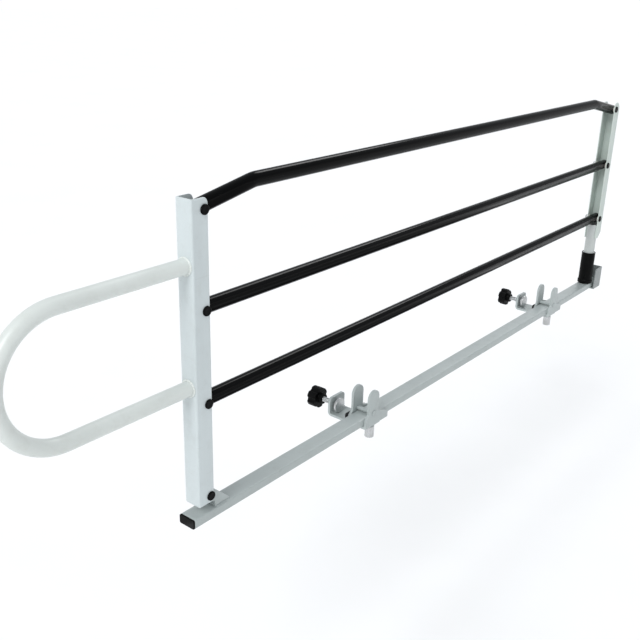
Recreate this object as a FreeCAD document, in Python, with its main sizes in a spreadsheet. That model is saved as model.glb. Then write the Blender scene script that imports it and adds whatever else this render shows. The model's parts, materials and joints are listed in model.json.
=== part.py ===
import FreeCAD, Part
import os
import re
import Sketcher
from FreeCAD import Placement, Rotation, Vector

# Folding bed side rail with a grab handle, in millimetres.
# +X runs along the bed from the handle end, +Y points into the bed and +Z is up.
# The origin is the centre of the rubber face with which the near clamp rests against the bed frame.

DIMENSIONS = {
    # Base rail, a flat rectangular tube, and the plug in its open end.
    "rail_length": 1478,
    "rail_width": 30,
    "rail_height": 15,
    "rail_wall": 2,
    "rail_corner": 2.5,
    "rail_overhang": 32,
    "plug_head": 3,
    "plug_depth": 15,
    "plug_play": 0.2,
    # Where the posts stand and where the bars are pinned, from the foot pivots up.
    "near_pin": -401,
    "pin_span": 1392,
    "pivot_height": 34,
    "first_bar": 149,
    "bar_pitch": 138,
    # Post channel. The pins are nearer to its open edge than to its web.
    "post_width": 30,
    "post_depth": 30,
    "post_wall": 2,
    "pin_to_web": 22.5,
    "post_bend": 3,
    "post_above_pin": 16,
    "post_top_round": 9,
    "near_foot_drop": 12,
    "near_foot_round": 3,
    "near_toe_round": 6,
    "far_post_start": 97,
    "far_post_chamfer": 16,
    "far_crest_chamfer": 12,
    # Bars.
    "bar_radius": 11,
    "bar_wall": 1.5,
    "bar_past_pin": 12,
    "top_rise": 20,
    "top_run": 107,
    "top_bend": 60,
    "insert_length": 26,
    "insert_head": 1.5,
    "insert_play": 0.05,
    "near_bore_play": 0.05,
    "far_bore_play": 0.6,
    "bar_hole_play": 0.9,
    # Grab handle.
    "handle_radius": 11,
    "handle_wall": 2,
    "handle_low": 176,
    "handle_spread": 175,
    "handle_reach": 196.5,
    # Bolts, caps, nuts and washers of the posts.
    "bolt_radius": 4,
    "bolt_head_radius": 5.5,
    "bolt_head_height": 1.8,
    "bolt_past_nut": 0.5,
    "cap_radius": 7.2,
    "cap_height": 2.8,
    "cap_play": 0.1,
    "nut_radius": 7.5,
    "nut_height": 5,
    "nut_collar_radius": 5.8,
    "nut_collar_height": 1.4,
    "washer_radius": 8,
    "washer_play": 0.1,
    # Near hinge bracket, a folded plate under the near pivot.
    "hinge_width": 22,
    "hinge_plate": 3,
    "hinge_boss": 11,
    "hinge_neck": 12,
    "hinge_neck_drop": 17,
    "hinge_tail": 42,
    # Far hinge: a tongue on the rail inside the forked foot of the tube.
    "tongue_width": 12,
    "tongue_boss": 8,
    "tongue_neck": 10,
    "tube_radius": 13,
    "tube_wall": 2,
    "tube_foot": 8,
    "tube_top": 133,
    "fork_play": 0.5,
    "fork_height": 10,
    "pivot_pin_length": 24,
    # Lock sleeve, its spring and the collar that the spring pushes against.
    "sleeve_radius": 17,
    "sleeve_bore": 13.3,
    "sleeve_counterbore": 15.2,
    "sleeve_rim": 18.5,
    "sleeve_rim_height": 8,
    "sleeve_drop": 25,
    "sleeve_top": 58,
    "sleeve_shoulder": 12,
    "collar_radius": 15,
    "collar_height": 3,
    "collar_drop": 1,
    "spring_wire": 0.75,
    "spring_radius": 14.1,
    "spring_pitch": 6.5,
    "spring_gap": 0.3,
    # Shoe round the far end of the rail, which guards the sleeve.
    "shoe_inner": 38.4,
    "shoe_plate": 3,
    "shoe_height": 43,
    "shoe_length": 44,
    "shoe_round": 5,
    # Clamps.
    "clamp_spacing": 755,
    "saddle_plate": 5,
    "saddle_play": 0.2,
    "saddle_back": 24,
    "saddle_front": 45,
    "saddle_shoulder": 3,
    "ear_start": 13,
    "ear_width": 30,
    "ear_top": 57,
    "ear_round": 14.9,
    "saddle_bend": 3,
    "keeper_radius": 4,
    "keeper_height": 12.2,
    "keeper_head_radius": 5.5,
    "keeper_head": 1.6,
    "rubber_length": 60,
    "rubber_height": 18,
    "rubber_thickness": 2,
    "rubber_round": 3,
    # Jaw under the bed frame and its screw.
    "arm_plate": 5,
    "arm_width": 44,
    "arm_shift": 6,
    "arm_lip": 15,
    "arm_reach": 50,
    "arm_top": 18,
    "arm_bend": 8,
    "arm_inner_bend": 3,
    "jaw_height": 2,
    "jaw_gap": 34,
    "jaw_pad_radius": 14,
    "jaw_pad_plate": 4,
    "jaw_pad_boss": 8,
    "jaw_pad_depth": 9,
    "jaw_screw_radius": 5,
    "jaw_screw_length": 46,
    "jaw_tip_radius": 3,
    "jaw_tip_length": 4,
    "jaw_knob_radius": 20,
    "jaw_knob_depth": 18,
    "jaw_knob_flute": 6,
    "jaw_knob_hub": 10,
    "jaw_knob_neck": 8,
    # Lock screw under the saddle, nearer to its front.
    "lock_offset": 18,
    "thrust_radius": 7,
    "thrust_thickness": 3,
    "thrust_play": 0.1,
    "thrust_hole": 7.3,
    "screw_play": 0.05,
    "lock_screw_radius": 4,
    "lock_screw_length": 26,
    "lock_tip_radius": 2.5,
    "lock_tip_length": 1.5,
    "lock_knob_radius": 8.75,
    "lock_knob_start": 16,
    "lock_knob_height": 22,
    "lock_knob_flute": 1.6,
}

# Places worked out from the driving dimensions, as expressions.
BOSS_SLOPE = "hinge_boss / sqrt(2)"
RAIL_Y = "-(rubber_thickness + saddle_plate + saddle_play + rail_width / 2)"
SADDLE_INNER = "(rail_width / 2 + saddle_play)"
SADDLE_OUTER = "(rail_width / 2 + saddle_play + saddle_plate)"
SADDLE_FLOOR = "(rail_height / 2 + saddle_play)"
SADDLE_BASE = "(rail_height / 2 + saddle_play + saddle_plate)"
RAIL_TOP_DROP = "(pivot_height - rail_height / 2)"
POST_INNER = "(post_width / 2 - post_wall)"
WEB_INNER = "(pin_to_web - post_wall)"
OPEN_EDGE = "(post_depth - pin_to_web)"
TOP_PIN = "(first_bar + 2 * bar_pitch)"
BAR_HEIGHTS = {
    "top_bar": TOP_PIN,
    "middle_bar": "(first_bar + bar_pitch)",
    "lower_bar": "first_bar",
}
FAR_PIN = "(near_pin + pin_span)"
CLAMPS = {"near": "0", "far": "clamp_spacing"}

doc = FreeCAD.newDocument("FoldingBedRail")
sheet = doc.addObject("Spreadsheet::Sheet", "Dims")
for row, (alias, number) in enumerate(DIMENSIONS.items(), start=1):
    sheet.set("A%d" % row, alias)
    sheet.set("B%d" % row, str(number))
    sheet.setAlias("B%d" % row, alias)
doc.recompute()

NODES = []


# ---------------------------------------------------------------- bindings to the sheet

def bound(text):
    """The expression with every alias in it pointed at the sheet."""
    return re.sub(r"[a-z][a-z_]+", lambda m: "Dims." + m[0] if m[0] in DIMENSIONS else m[0], text)


def value(text):
    return float(sheet.evalExpression(bound(text)))


def bind(target, name, text):
    target.setExpression(name, bound(text))


def place(target, x="0", y="0", z="0"):
    for axis, text in zip("xyz", (x, y, z)):
        bind(target, "Placement.Base." + axis, text)


def keep(target, label):
    """Hand the object in as the node with this label."""
    target.Label = label
    NODES.append(target)
    return target


# ---------------------------------------------------------------- sketched bodies

def new_body(label, x="0", y=RAIL_Y, z="0"):
    body = doc.addObject("PartDesign::Body", label)
    place(body, x, y, z)
    return keep(body, label)


def sketch_on(body, role, offset="0"):
    """An empty sketch on one of the body's own origin planes, raised along its normal."""
    sketch = body.newObject("Sketcher::SketchObject", "Sketch")
    plane = next(item for item in body.Origin.OriginFeatures if item.Role == role)
    sketch.AttachmentSupport = [(plane, "")]
    sketch.MapMode = "FlatFace"
    bind(sketch, "AttachmentOffset.Base.z", offset)
    return sketch


def pin_point(sketch, geometry, vertex, x, y):
    """Hold one point of the sketch at two bound coordinates."""
    for kind, text in (("DistanceX", x), ("DistanceY", y)):
        number = Sketcher.Constraint(kind, -1, 1, geometry, vertex, value(text))
        index = sketch.addConstraint(number)
        bind(sketch, "Constraints[%d]" % index, text)


def draw_outline(sketch, corners):
    """A closed outline of straight lines through the corners."""
    points = [Vector(value(x), value(y), 0) for x, y in corners]
    first = len(sketch.Geometry)
    count = len(points)
    for index in range(count):
        sketch.addGeometry(Part.LineSegment(points[index], points[(index + 1) % count]))
    for index, (x, y) in enumerate(corners):
        follower = first + (index + 1) % count
        sketch.addConstraint(Sketcher.Constraint("Coincident", first + index, 2, follower, 1))
        pin_point(sketch, first + index, 1, x, y)
    return sketch


def draw_rectangle(sketch, left, right, low, high):
    return draw_outline(sketch, [(left, low), (right, low), (right, high), (left, high)])


def draw_circle(sketch, radius, x="0", y="0"):
    circle = Part.Circle(Vector(value(x), value(y), 0), Vector(0, 0, 1), value(radius))
    index = sketch.addGeometry(circle)
    size = sketch.addConstraint(Sketcher.Constraint("Radius", index, value(radius)))
    bind(sketch, "Constraints[%d]" % size, radius)
    pin_point(sketch, index, 3, x, y)
    return sketch


def pad(body, sketch, length, side="One side", reverse=False):
    feature = body.newObject("PartDesign::Pad", "Pad")
    feature.Profile = sketch
    feature.SideType = side
    feature.Reversed = reverse
    bind(feature, "Length", length)
    doc.recompute()
    return feature


def cut_through(body, sketch):
    """Cut the sketch's outline out of the whole body, to both sides of its plane."""
    before = body.Shape.Volume
    feature = body.newObject("PartDesign::Pocket", "Cut")
    feature.Profile = sketch
    feature.SideType = "Symmetric"
    feature.Type = "ThroughAll"
    doc.recompute()
    if body.Shape.Volume > before - 1:
        raise RuntimeError(body.Label + ": a cut removed nothing")
    return feature


def round_edges(body, radius, axis, chosen):
    """Fillet the straight edges along the axis whose middle passes the test."""
    base = body.Tip
    names = []
    for index, edge in enumerate(base.Shape.Edges, start=1):
        if len(edge.Vertexes) != 2 or edge.Curve.TypeId != "Part::GeomLine":
            continue
        run = edge.Vertexes[1].Point - edge.Vertexes[0].Point
        middle = (edge.Vertexes[1].Point + edge.Vertexes[0].Point) * 0.5
        if abs(run.normalize().dot(axis)) > 0.999 and chosen(middle):
            names.append("Edge%d" % index)
    feature = body.newObject("PartDesign::Fillet", "Rounding")
    feature.Base = (base, names)
    bind(feature, "Radius", radius)
    doc.recompute()
    return feature


ALONG_X = Vector(1, 0, 0)
ALONG_Y = Vector(0, 1, 0)
ALONG_Z = Vector(0, 0, 1)


# ---------------------------------------------------------------- primitives

TURNS = {
    "X": Rotation(ALONG_Y, 90),
    "Y": Rotation(ALONG_X, -90),
    "Z": Rotation(),
}


def rod(radius, length, axis, x="0", y="0", z="0"):
    """A cylinder that starts at a point and runs along a positive axis."""
    piece = doc.addObject("Part::Cylinder", "Rod")
    bind(piece, "Radius", radius)
    bind(piece, "Height", length)
    piece.Placement = Placement(Vector(), TURNS[axis])
    place(piece, x, y, z)
    return piece


def hexagon(radius, length, axis, x, y, z):
    piece = doc.addObject("Part::Prism", "Hexagon")
    piece.Polygon = 6
    bind(piece, "Circumradius", radius)
    bind(piece, "Height", length)
    piece.Placement = Placement(Vector(), TURNS[axis])
    place(piece, x, y, z)
    return piece


def fused(pieces):
    joined = doc.addObject("Part::MultiFuse", "Joined")
    joined.Shapes = pieces
    joined.Refine = True
    return joined


def minus(base, tool):
    rest = doc.addObject("Part::Cut", "Rest")
    rest.Base = base
    rest.Tool = tool
    return rest


def group(label, pieces):
    """Several separate solids that share one node."""
    bundle = doc.addObject("Part::Compound", label)
    bundle.Links = pieces
    return keep(bundle, label)


# ---------------------------------------------------------------- base rail

def make_base_rail():
    start = "near_pin - rail_overhang"
    rail = new_body("base_rail", start)
    outer = draw_rectangle(
        sketch_on(rail, "YZ_Plane"),
        "-rail_width / 2", "rail_width / 2", "-rail_height / 2", "rail_height / 2")
    pad(rail, outer, "rail_length")
    round_edges(rail, "rail_corner", ALONG_X, lambda middle: True)
    inner = draw_rectangle(
        sketch_on(rail, "YZ_Plane"),
        "-rail_width / 2 + rail_wall", "rail_width / 2 - rail_wall",
        "-rail_height / 2 + rail_wall", "rail_height / 2 - rail_wall")
    cut_through(rail, inner)

    plug = new_body("base_end_cap", start)
    head = draw_rectangle(
        sketch_on(plug, "YZ_Plane"),
        "-rail_width / 2", "rail_width / 2", "-rail_height / 2", "rail_height / 2")
    pad(plug, head, "plug_head", reverse=True)
    round_edges(plug, "rail_corner", ALONG_X, lambda middle: True)
    stem = draw_rectangle(
        sketch_on(plug, "YZ_Plane"),
        "-rail_width / 2 + rail_wall + plug_play", "rail_width / 2 - rail_wall - plug_play",
        "-rail_height / 2 + rail_wall + plug_play", "rail_height / 2 - rail_wall - plug_play")
    pad(plug, stem, "plug_depth")


def make_near_hinge_bracket():
    """Two cheeks on a floor: the neck stands behind the pivot, clear of the web as the post folds."""
    bracket = new_body("near_hinge_bracket", "near_pin", RAIL_Y, "pivot_height")
    cheek = draw_outline(sketch_on(bracket, "XZ_Plane"), [
        ("-" + BOSS_SLOPE, "-" + BOSS_SLOPE),
        ("hinge_neck", "-hinge_neck_drop"),
        ("hinge_neck", "-" + RAIL_TOP_DROP),
        ("hinge_tail", "-" + RAIL_TOP_DROP),
        ("hinge_tail", "-" + RAIL_TOP_DROP + " + hinge_plate"),
        (BOSS_SLOPE, BOSS_SLOPE),
    ])
    pad(bracket, cheek, "hinge_width", "Symmetric")
    boss = draw_circle(sketch_on(bracket, "XZ_Plane"), "hinge_boss")
    pad(bracket, boss, "hinge_width", "Symmetric")
    inside = draw_rectangle(
        sketch_on(bracket, "YZ_Plane"),
        "-hinge_width / 2 + hinge_plate", "hinge_width / 2 - hinge_plate",
        "-" + RAIL_TOP_DROP + " + hinge_plate", "hinge_boss * 2")
    cut_through(bracket, inside)
    cut_through(bracket, draw_circle(sketch_on(bracket, "XZ_Plane"), "bolt_radius + near_bore_play"))


def make_far_hinge_tongue():
    tongue = new_body("far_hinge_tongue", FAR_PIN, RAIL_Y, "pivot_height")
    neck = draw_rectangle(
        sketch_on(tongue, "XZ_Plane"), "0", "tongue_neck", "-" + RAIL_TOP_DROP, "0")
    pad(tongue, neck, "tongue_width", "Symmetric")
    boss = draw_circle(sketch_on(tongue, "XZ_Plane"), "tongue_boss")
    pad(tongue, boss, "tongue_width", "Symmetric")
    cut_through(tongue, draw_circle(sketch_on(tongue, "XZ_Plane"), "bolt_radius + near_bore_play"))


def make_far_end_bracket():
    """A shoe: a floor under the rail, an end wall across it and a wall at each side of the sleeve."""
    shoe = new_body("far_end_bracket", "near_pin - rail_overhang + rail_length")
    side = "(shoe_inner / 2 + shoe_plate)"
    floor = "(rail_height / 2 + shoe_plate)"
    block = draw_rectangle(
        sketch_on(shoe, "XY_Plane", "-" + floor),
        "-shoe_length + shoe_plate", "shoe_plate", "-" + side, side)
    pad(shoe, block, "shoe_height + " + floor)
    round_edges(shoe, "shoe_round", ALONG_Z, lambda middle: middle.x > 0)
    open_end = value("-shoe_length + shoe_plate")
    round_edges(shoe, "shoe_round", ALONG_Y, lambda middle: middle.x < open_end + 1 and middle.z > 0)
    inside = draw_rectangle(
        sketch_on(shoe, "YZ_Plane"),
        "-shoe_inner / 2", "shoe_inner / 2", "-rail_height / 2", "shoe_height * 2")
    hollow = shoe.newObject("PartDesign::Pocket", "Hollow")
    hollow.Profile = inside
    bind(hollow, "Length", "shoe_length * 2")
    doc.recompute()


# ---------------------------------------------------------------- posts

def make_near_post():
    """A channel, open towards the bars, that ends above the base rail so that it can fold."""
    post = new_body("near_post", "near_pin", RAIL_Y, "pivot_height")
    section = draw_rectangle(
        sketch_on(post, "XY_Plane", "-near_foot_drop"),
        "-pin_to_web", OPEN_EDGE, "-post_width / 2", "post_width / 2")
    pad(post, section, "near_foot_drop + post_above_pin + " + TOP_PIN)
    foot = value("-near_foot_drop") + 1
    crown = value("post_above_pin + " + TOP_PIN) - 1
    round_edges(post, "near_foot_round", ALONG_Y, lambda m: m.z < foot and m.x < 0)
    round_edges(post, "near_toe_round", ALONG_Y, lambda m: m.z < foot and m.x > 0)
    round_edges(post, "post_top_round", ALONG_Y, lambda m: m.z > crown and m.x > 0)
    round_edges(post, "post_bend", ALONG_Z, lambda m: m.x < 0)
    inside = draw_rectangle(
        sketch_on(post, "XY_Plane"),
        "-" + WEB_INNER, "post_depth", "-" + POST_INNER, POST_INNER)
    cut_through(post, inside)
    for height in ("0", *BAR_HEIGHTS.values()):
        cut_through(post, draw_circle(sketch_on(post, "XZ_Plane"), "bolt_radius", "0", height))


def make_grab_handle():
    """One bent tube: out from the post, round a half circle and back."""
    handle = new_body("grab_handle", "near_pin - pin_to_web", RAIL_Y, "pivot_height")
    high = "handle_low + handle_spread"
    middle = "handle_low + handle_spread / 2"
    route = sketch_on(handle, "XZ_Plane")
    reach = value("-handle_reach")
    centre = Vector(reach, value(middle), 0)
    bend = value("handle_spread / 2")
    upper = Vector(reach, value(high), 0)
    lower = Vector(reach, value("handle_low"), 0)
    turn = Part.Arc(upper, centre - Vector(bend, 0, 0), lower)
    route.addGeometry(Part.LineSegment(Vector(0, upper.y, 0), upper))
    route.addGeometry(turn)
    route.addGeometry(Part.LineSegment(lower, Vector(0, lower.y, 0)))
    pin_point(route, 0, 1, "0", high)
    pin_point(route, 0, 2, "-handle_reach", high)
    pin_point(route, 2, 1, "-handle_reach", "handle_low")
    pin_point(route, 2, 2, "0", "handle_low")
    # The arc runs counter-clockwise, so it starts at the upper line and ends at the lower one.
    route.addConstraint(Sketcher.Constraint("Coincident", 1, 1, 0, 2))
    route.addConstraint(Sketcher.Constraint("Coincident", 1, 2, 2, 1))
    index = route.addConstraint(Sketcher.Constraint("DistanceX", -1, 1, 1, 3, reach))
    bind(route, "Constraints[%d]" % index, "-handle_reach")
    section = sketch_on(handle, "YZ_Plane")
    draw_circle(section, "handle_radius", "0", high)
    draw_circle(section, "handle_radius - handle_wall", "0", high)
    sweep(handle, section, route)


def sweep(body, section, route):
    doc.recompute()
    pipe = body.newObject("PartDesign::AdditivePipe", "Tube")
    pipe.Profile = section
    pipe.Spine = (route, ["Edge%d" % (index + 1) for index in range(len(route.Geometry))])
    doc.recompute()
    return pipe


def make_far_post():
    """A channel, open towards the bars, that ends above the lock sleeve, with its web's corners cut off."""
    post = new_body("far_post", FAR_PIN, RAIL_Y, "pivot_height")
    section = draw_rectangle(
        sketch_on(post, "XY_Plane", "far_post_start"),
        "-" + OPEN_EDGE, "pin_to_web", "-post_width / 2", "post_width / 2")
    pad(post, section, "post_above_pin - far_post_start + " + TOP_PIN)
    crown = value("post_above_pin + " + TOP_PIN) - 1
    round_edges(post, "post_top_round", ALONG_Y, lambda m: m.z > crown and m.x < 0)
    round_edges(post, "post_bend", ALONG_Z, lambda m: m.x > 0)
    inside = draw_rectangle(
        sketch_on(post, "XY_Plane"),
        "-post_depth", WEB_INNER, "-" + POST_INNER, POST_INNER)
    cut_through(post, inside)
    corner = draw_outline(sketch_on(post, "XZ_Plane"), [
        ("pin_to_web - far_post_chamfer", "far_post_start"),
        ("pin_to_web - far_post_chamfer", "far_post_start - post_depth"),
        ("pin_to_web + post_depth", "far_post_start - post_depth"),
        ("pin_to_web + post_depth", "far_post_start + far_post_chamfer + post_depth"),
    ])
    cut_through(post, corner)
    top = "(post_above_pin + %s)" % TOP_PIN
    crest = draw_outline(sketch_on(post, "XZ_Plane"), [
        ("pin_to_web - far_crest_chamfer", top),
        ("pin_to_web + post_depth", top + " - far_crest_chamfer - post_depth"),
        ("pin_to_web + post_depth", top + " + post_depth"),
        ("pin_to_web - far_crest_chamfer", top + " + post_depth"),
    ])
    cut_through(post, crest)
    for height in BAR_HEIGHTS.values():
        cut_through(post, draw_circle(sketch_on(post, "XZ_Plane"), "bolt_radius", "0", height))


def make_far_post_tube():
    """The round foot of the far post: welded in the channel, forked round the tongue below."""
    tube = new_body("far_post_tube", FAR_PIN, RAIL_Y, "pivot_height")
    ring = sketch_on(tube, "XY_Plane", "-tube_foot")
    draw_circle(ring, "tube_radius")
    draw_circle(ring, "tube_radius - tube_wall")
    pad(tube, ring, "tube_foot + tube_top")
    fork = draw_rectangle(
        sketch_on(tube, "YZ_Plane"),
        "-tongue_width / 2 - fork_play", "tongue_width / 2 + fork_play",
        "-tube_foot * 2", "fork_height")
    cut_through(tube, fork)
    cut_through(tube, draw_circle(sketch_on(tube, "XZ_Plane"), "bolt_radius"))
    pin = rod("bolt_radius", "pivot_pin_length", "Y",
              FAR_PIN, RAIL_Y + " - pivot_pin_length / 2", "pivot_height")
    keep(pin, "far_pivot_pin")


# ---------------------------------------------------------------- lock sleeve

def make_lock_sleeve():
    """A plastic sleeve with a wide rim below and a counterbore above for its spring."""
    sleeve = new_body("lock_sleeve", FAR_PIN, RAIL_Y, "pivot_height")
    profile = draw_outline(sketch_on(sleeve, "XZ_Plane"), [
        ("sleeve_bore", "-sleeve_drop"),
        ("sleeve_rim", "-sleeve_drop"),
        ("sleeve_rim", "-sleeve_drop + sleeve_rim_height"),
        ("sleeve_radius", "-sleeve_drop + sleeve_rim_height + sleeve_rim - sleeve_radius"),
        ("sleeve_radius", "sleeve_top"),
        ("sleeve_counterbore", "sleeve_top"),
        ("sleeve_counterbore", "sleeve_shoulder"),
        ("sleeve_bore", "sleeve_shoulder"),
    ])
    turned = sleeve.newObject("PartDesign::Revolution", "Turned")
    turned.Profile = profile
    turned.ReferenceAxis = (profile, ["V_Axis"])
    turned.Angle = 360
    doc.recompute()

    collar_top = "(pivot_height + sleeve_top - collar_drop)"
    collar = minus(
        rod("collar_radius", "collar_height", "Z", FAR_PIN, RAIL_Y, collar_top + " - collar_height"),
        rod("tube_radius", "collar_height", "Z", FAR_PIN, RAIL_Y, collar_top + " - collar_height"))
    keep(collar, "spring_collar")

    low = "(pivot_height + sleeve_shoulder + spring_gap + spring_wire)"
    high = "(" + collar_top + " - collar_height - spring_gap - spring_wire)"
    coil = doc.addObject("Part::Helix", "Coil")
    bind(coil, "Pitch", "spring_pitch")
    bind(coil, "Height", high + " - " + low)
    bind(coil, "Radius", "spring_radius")
    place(coil, FAR_PIN, RAIL_Y, low)
    wire = doc.addObject("Part::Circle", "WireSection")
    bind(wire, "Radius", "spring_wire")
    wire.Placement = Placement(Vector(), TURNS["Y"])
    place(wire, FAR_PIN + " + spring_radius", RAIL_Y, low)
    doc.recompute()
    spring = doc.addObject("Part::Sweep", "lock_spring")
    spring.Sections = [wire]
    spring.Spine = (coil, ["Edge%d" % (index + 1) for index in range(len(coil.Shape.Edges))])
    spring.Solid = True
    spring.Frenet = True
    keep(spring, "lock_spring")


# ---------------------------------------------------------------- bars

def bar_ends(label):
    """Where a bar's two end inserts go: the pin's place, and how far the bar there slopes up."""
    height = "pivot_height + " + BAR_HEIGHTS[label]
    slope = "atan(top_rise / top_run)" if label == "top_bar" else "0"
    return [("near_pin", height, slope, 0, "near_bore_play"),
            (FAR_PIN, height, slope, 180, "far_bore_play")]


def make_straight_bar(label):
    bar = new_body(label, "near_pin", RAIL_Y, "pivot_height + " + BAR_HEIGHTS[label])
    ring = sketch_on(bar, "YZ_Plane", "-bar_past_pin")
    draw_circle(ring, "bar_radius")
    draw_circle(ring, "bar_radius - bar_wall")
    pad(bar, ring, "pin_span + 2 * bar_past_pin")
    for x in ("0", "pin_span"):
        hole = draw_circle(sketch_on(bar, "XZ_Plane"), "bolt_radius + bar_hole_play", x)
        cut_through(bar, hole)


def make_top_bar():
    """The top bar rises from each pin to a long straight grip, with a gentle bend at each end."""
    bar = new_body("top_bar", "near_pin", RAIL_Y, "pivot_height + " + TOP_PIN)
    slope = "atan(top_rise / top_run)"
    ease = "top_bend * tan(%s / 2)" % slope
    past_x = "bar_past_pin * cos(%s)" % slope
    past_z = "bar_past_pin * sin(%s)" % slope
    ease_x = "(%s) * cos(%s)" % (ease, slope)
    ease_z = "(%s) * sin(%s)" % (ease, slope)
    marks = [
        ("-(%s)" % past_x, "-(%s)" % past_z),
        ("top_run - " + ease_x, "top_rise - " + ease_z),
        ("top_run + " + ease, "top_rise"),
        ("pin_span - top_run - " + ease, "top_rise"),
        ("pin_span - top_run + " + ease_x, "top_rise - " + ease_z),
        ("pin_span + " + past_x, "-(%s)" % past_z),
    ]
    points = [Vector(value(x), value(z), 0) for x, z in marks]
    route = sketch_on(bar, "XZ_Plane")
    for first in (0, 2, 4):
        line = route.addGeometry(Part.LineSegment(points[first], points[first + 1]))
        pin_point(route, line, 1, *marks[first])
        pin_point(route, line, 2, *marks[first + 1])
    for before, after, x in ((0, 1, "top_run + " + ease), (1, 2, "pin_span - top_run - " + ease)):
        centre = Vector(value(x), value("top_rise - top_bend"), 0)
        start, end = points[2 * before + 1], points[2 * after]
        crown = centre + ((start + end) * 0.5 - centre).normalize() * value("top_bend")
        arc = route.addGeometry(Part.Arc(start, crown, end))
        # An arc is kept counter-clockwise, so its start is the end that lies further along the bar.
        route.addConstraint(Sketcher.Constraint("Coincident", arc, 2, before, 2))
        route.addConstraint(Sketcher.Constraint("Coincident", arc, 1, after, 1))
        size = route.addConstraint(Sketcher.Constraint("Radius", arc, value("top_bend")))
        bind(route, "Constraints[%d]" % size, "top_bend")
    section = sketch_on(bar, "YZ_Plane")
    section.AttachmentOffset = Placement(Vector(), Rotation(Vector(-1, 0, 0), value(slope)))
    bind(section, "AttachmentOffset.Rotation.Angle", slope)
    bind(section, "AttachmentOffset.Base.y", marks[0][1])
    bind(section, "AttachmentOffset.Base.z", marks[0][0])
    draw_circle(section, "bar_radius")
    draw_circle(section, "bar_radius - bar_wall")
    sweep(bar, section, route)
    for x in ("0", "pin_span"):
        hole = draw_circle(sketch_on(bar, "XZ_Plane"), "bolt_radius + bar_hole_play", x)
        cut_through(bar, hole)


def make_bar_inserts(label):
    """Plastic plugs in the bar's open ends, each with the cross bore that turns on the bolt."""
    plugs = []
    for x, z, slope, turn, play in bar_ends(label):
        stem = rod("bar_radius - bar_wall - insert_play", "insert_length", "X", "-bar_past_pin")
        head = rod("bar_radius", "insert_head", "X", "-bar_past_pin - insert_head")
        bore = rod("bolt_radius + " + play, "4 * bar_radius", "Y", "0", "-2 * bar_radius")
        plug = minus(fused([stem, head]), bore)
        plug.Placement = Placement(Vector(), Rotation(ALONG_Z, turn) * Rotation(ALONG_Y, -value(slope)))
        place(plug, x, RAIL_Y, z)
        plugs.append(plug)
    group(label + "_inserts", plugs)


# ---------------------------------------------------------------- bolts of the posts

def make_pin_hardware(side, x, heights):
    """Bolt, cap, nut and washers at each pin of one post; the heads face away from the bed."""
    sets = {"bolts": [], "caps": [], "nuts": [], "washers": []}
    face = "post_width / 2"
    for height in heights:
        z = "pivot_height + " + height
        outer = RAIL_Y + " - " + face
        inner = RAIL_Y + " + " + face
        shank = rod("bolt_radius", "post_width + nut_height + nut_collar_height + bolt_past_nut",
                    "Y", x, outer, z)
        head = rod("bolt_head_radius", "bolt_head_height", "Y", x, outer + " - bolt_head_height", z)
        sets["bolts"].append(fused([shank, head]))

        shell = rod("cap_radius", "cap_height", "Y", x, outer + " - cap_height", z)
        room = rod("bolt_head_radius + cap_play", "bolt_head_height + cap_play", "Y",
                   x, outer + " - bolt_head_height - cap_play", z)
        sets["caps"].append(minus(shell, room))

        body = fused([
            hexagon("nut_radius", "nut_height", "Y", x, inner, z),
            rod("nut_collar_radius", "nut_collar_height", "Y", x, inner + " + nut_height", z)])
        bore = rod("bolt_radius", "nut_height + nut_collar_height", "Y", x, inner, z)
        sets["nuts"].append(minus(body, bore))

        for start in ("bar_radius + washer_play", "washer_play - " + POST_INNER):
            width = POST_INNER + " - bar_radius - 2 * washer_play"
            seat = RAIL_Y + " + " + start
            ring = rod("washer_radius", width, "Y", x, seat, z)
            hole = rod("bolt_radius + near_bore_play", width, "Y", x, seat, z)
            sets["washers"].append(minus(ring, hole))
    group(side + "_post_bolts", sets["bolts"])
    group(side + "_bolt_caps", sets["caps"])
    group(side + "_lock_nuts", sets["nuts"])
    group(side + "_washers", sets["washers"])


# ---------------------------------------------------------------- clamps

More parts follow.
